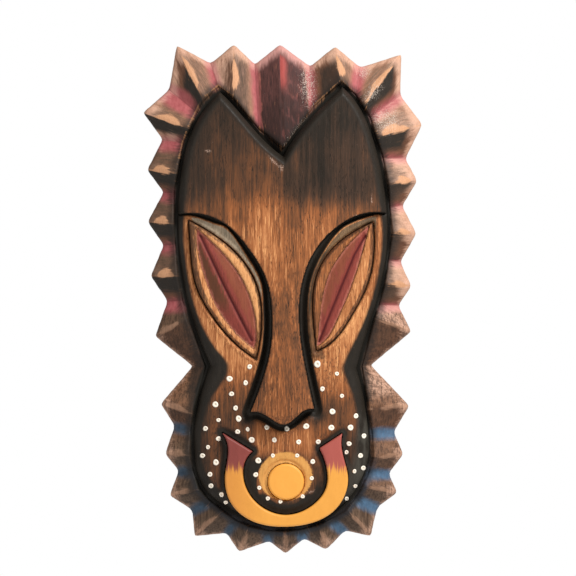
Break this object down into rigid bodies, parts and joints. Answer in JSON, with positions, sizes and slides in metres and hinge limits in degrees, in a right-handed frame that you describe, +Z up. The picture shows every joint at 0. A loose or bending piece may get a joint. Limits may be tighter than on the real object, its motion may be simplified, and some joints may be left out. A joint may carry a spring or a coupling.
{
  "type": "carved wooden wall mask",
  "caption": "Tall painted wooden wall mask with a pleated, pointed collar, horned brow, long nose, almond eyes, nose ring and dotted muzzle, hung from a swinging D-ring.",
  "frame": {"origin": "the point in the wall plane where the hanging nail stands, inside the D-ring at the back of the board, 149 mm above the middle of the mask's height", "axes": "+X to the right as the mask is seen from the front, +Z up, +Y into the wall; the face looks along -Y and the back of the board lies in the plane Y = 0"},
  "size_m": [0.2785, 0.054, 0.508],
  "materials": {
    "painted_collar": "worn matt paint over bare wood, pink above the waist and blue below, on bare tan ridges",
    "brown_wood": "brown stain brushed along the grain",
    "tan_wood": "tan stain shading to near black at the jaw",
    "red_wood": "worn red stain with a tan rim",
    "orange_wood": "matt orange paint, red at the ring's ends",
    "white_paint": "thick white paint",
    "ring_steel": "bright plated wire",
    "strap_steel": "plated sheet steel",
    "screw_brass": "brass-plated"
  },
  "bodies": {
    "mask": {"backing_board": "painted_collar", "brow_and_nose": "brown_wood", "cheek_panel": "tan_wood", "left_eye": "red_wood", "right_eye": "red_wood", "nose_ring": "orange_wood", "mouth_disc": "orange_wood", "paint_beads": "white_paint", "hanger_strap": "strap_steel", "hanger_screws": "screw_brass"},
    "hanger_ring": {"hanger_ring": "ring_steel"}
  },
  "joints": [
    {"name": "ring_swing", "type": "hinge", "parent": "mask", "child": "hanger_ring", "pos_m": [0, -0.0057, -0.013], "axis": [-1, 0, 0], "range_deg": [0, 170]}
  ]
}
